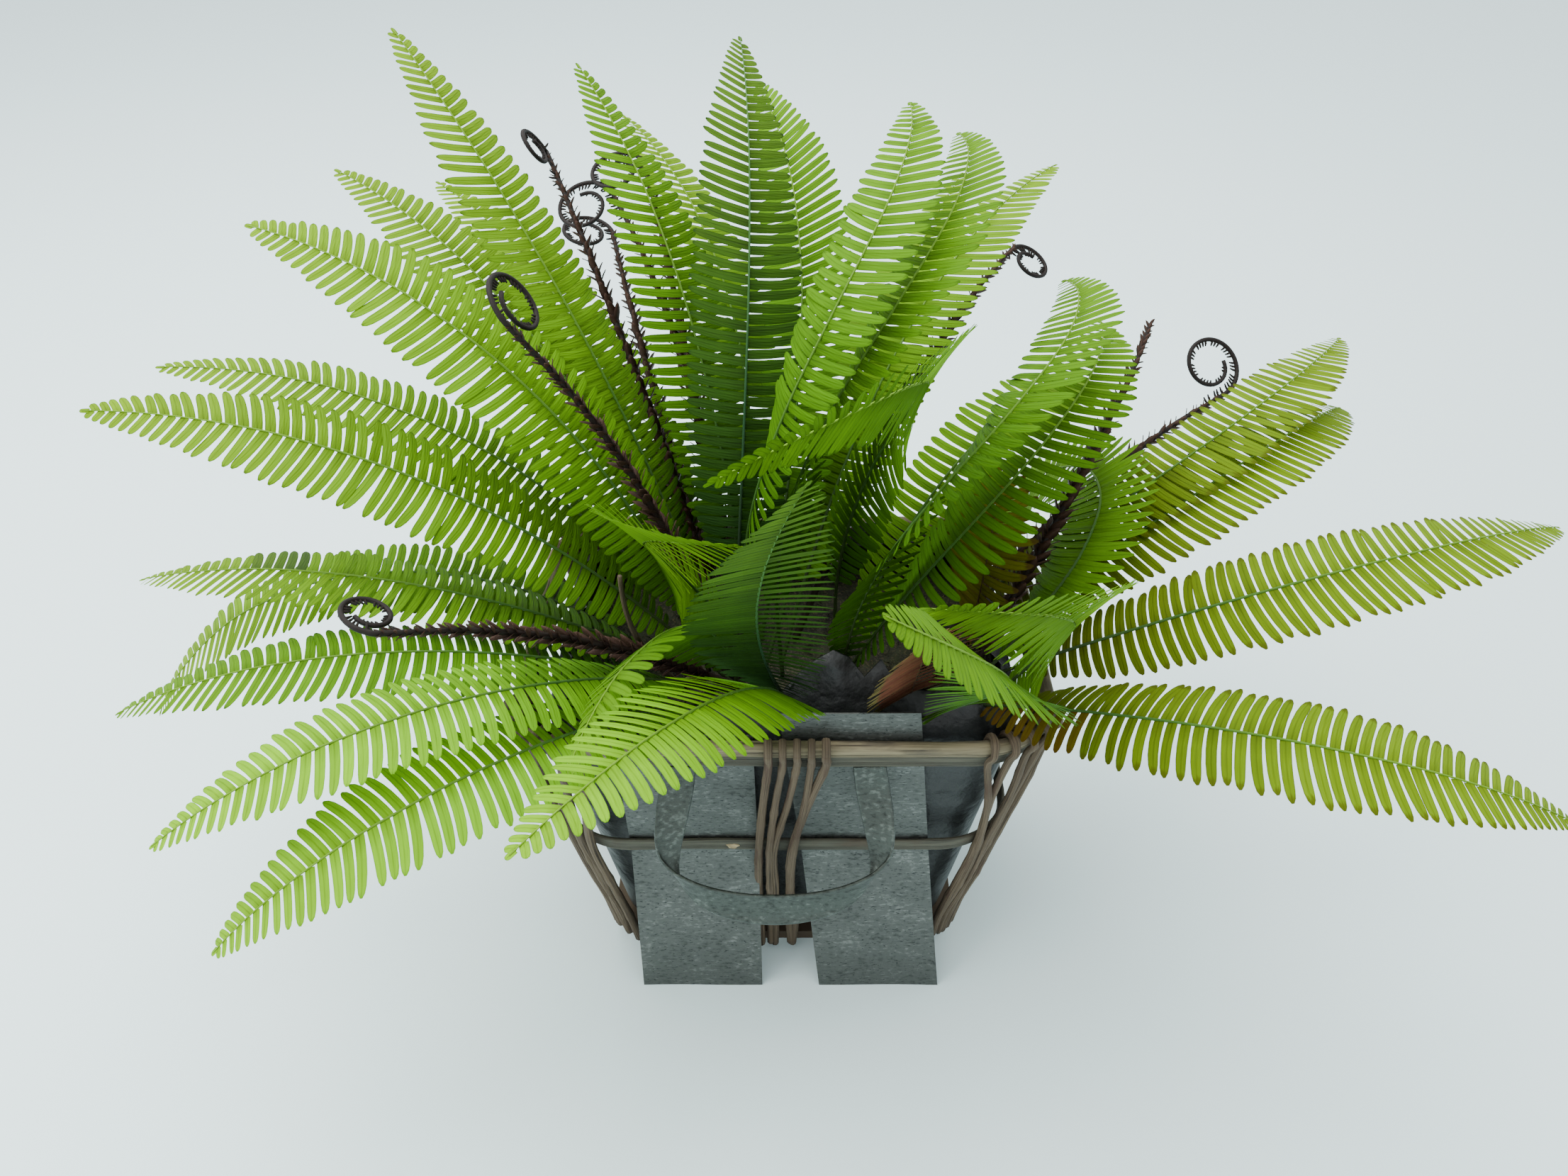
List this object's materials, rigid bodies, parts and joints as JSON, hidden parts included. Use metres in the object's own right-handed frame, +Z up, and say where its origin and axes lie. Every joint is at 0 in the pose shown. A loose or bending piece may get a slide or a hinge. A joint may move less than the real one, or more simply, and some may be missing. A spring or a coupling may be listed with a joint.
{
  "type": "bunch of fern fronds in a willow and zinc basket",
  "caption": "Full bunch of arching fern fronds and coiled brown shoots standing in a low basket of willow rods and bent zinc plates with a drooping strap handle.",
  "frame": {"origin": "on the floor, under the middle of the basket's foot", "axes": "+Z up, +X to the right and +Y to the back as seen from the front of the basket"},
  "size_m": [0.9704, 0.6768, 0.597],
  "materials": {
    "leaf": "fresh green printed cloth leaflets, paler at the tips",
    "dark_leaf": "dark bottle-green printed cloth leaflets",
    "turned_leaf": "olive and rust-brown printed cloth leaflets",
    "shoot": "nearly black brown moulded shoots with rust scales",
    "willow": "grey-brown peeled willow",
    "rim_willow": "lighter tan split willow rod",
    "base_wood": "rough dark board",
    "liner_plastic": "black film-like plastic pot",
    "foam": "dark foam under dry moss",
    "zinc": "mottled weathered galvanised sheet",
    "strap_zinc": "darker galvanised strap with rolled edges"
  },
  "bodies": {
    "root": {"frond_left_tall": "leaf", "frond_left_high": "leaf", "frond_left_high_rear": "leaf", "frond_left_bright": "leaf", "frond_left_mid_rear": "leaf", "frond_left_mid": "leaf", "frond_left_low_upper": "leaf", "frond_left_low_rear": "leaf", "frond_left_low": "leaf", "frond_left_bottom": "leaf", "frond_front_left_low": "leaf", "frond_front_left_trailing": "leaf", "frond_front_left_folded": "leaf", "frond_back_left_tall": "leaf", "frond_back_tall": "leaf", "frond_middle_tall": "dark_leaf", "frond_back_middle": "leaf", "frond_back_right_tall": "leaf", "frond_back_right_rear": "leaf", "frond_right_tall": "leaf", "frond_front_right_long": "leaf", "frond_right_rear": "leaf", "frond_right_arched": "leaf", "frond_right_short": "leaf", "frond_centre_curled": "leaf", "frond_centre_folded": "leaf", "frond_centre_low": "dark_leaf", "frond_right_rising": "leaf", "frond_right_upper": "leaf", "frond_right_level": "leaf", "frond_right_trailing": "leaf", "frond_front_right_curled": "leaf", "frond_front_right_bent": "leaf", "frond_front_rust": "turned_leaf", "frond_right_olive": "turned_leaf", "frond_right_curled": "leaf", "crosier_left_edgewise": "shoot", "crosier_left_middle": "shoot", "crosier_left_tall": "shoot", "crosier_left_high": "shoot", "crosier_left_level": "shoot", "crosier_right_looped": "shoot", "front_rods": "willow", "back_rods": "willow", "front_left_rods": "willow", "front_right_rods": "willow", "back_left_rods": "willow", "back_right_rods": "willow", "rim_band": "willow", "waist_band": "willow", "base_board": "base_wood", "rim_rod": "rim_willow", "liner_pot": "liner_plastic", "foam_block": "foam", "front_left_plate": "zinc", "front_right_plate": "zinc", "back_left_plate": "zinc", "back_right_plate": "zinc", "front_handle": "strap_zinc", "back_handle": "strap_zinc"}
  },
  "joints": []
}
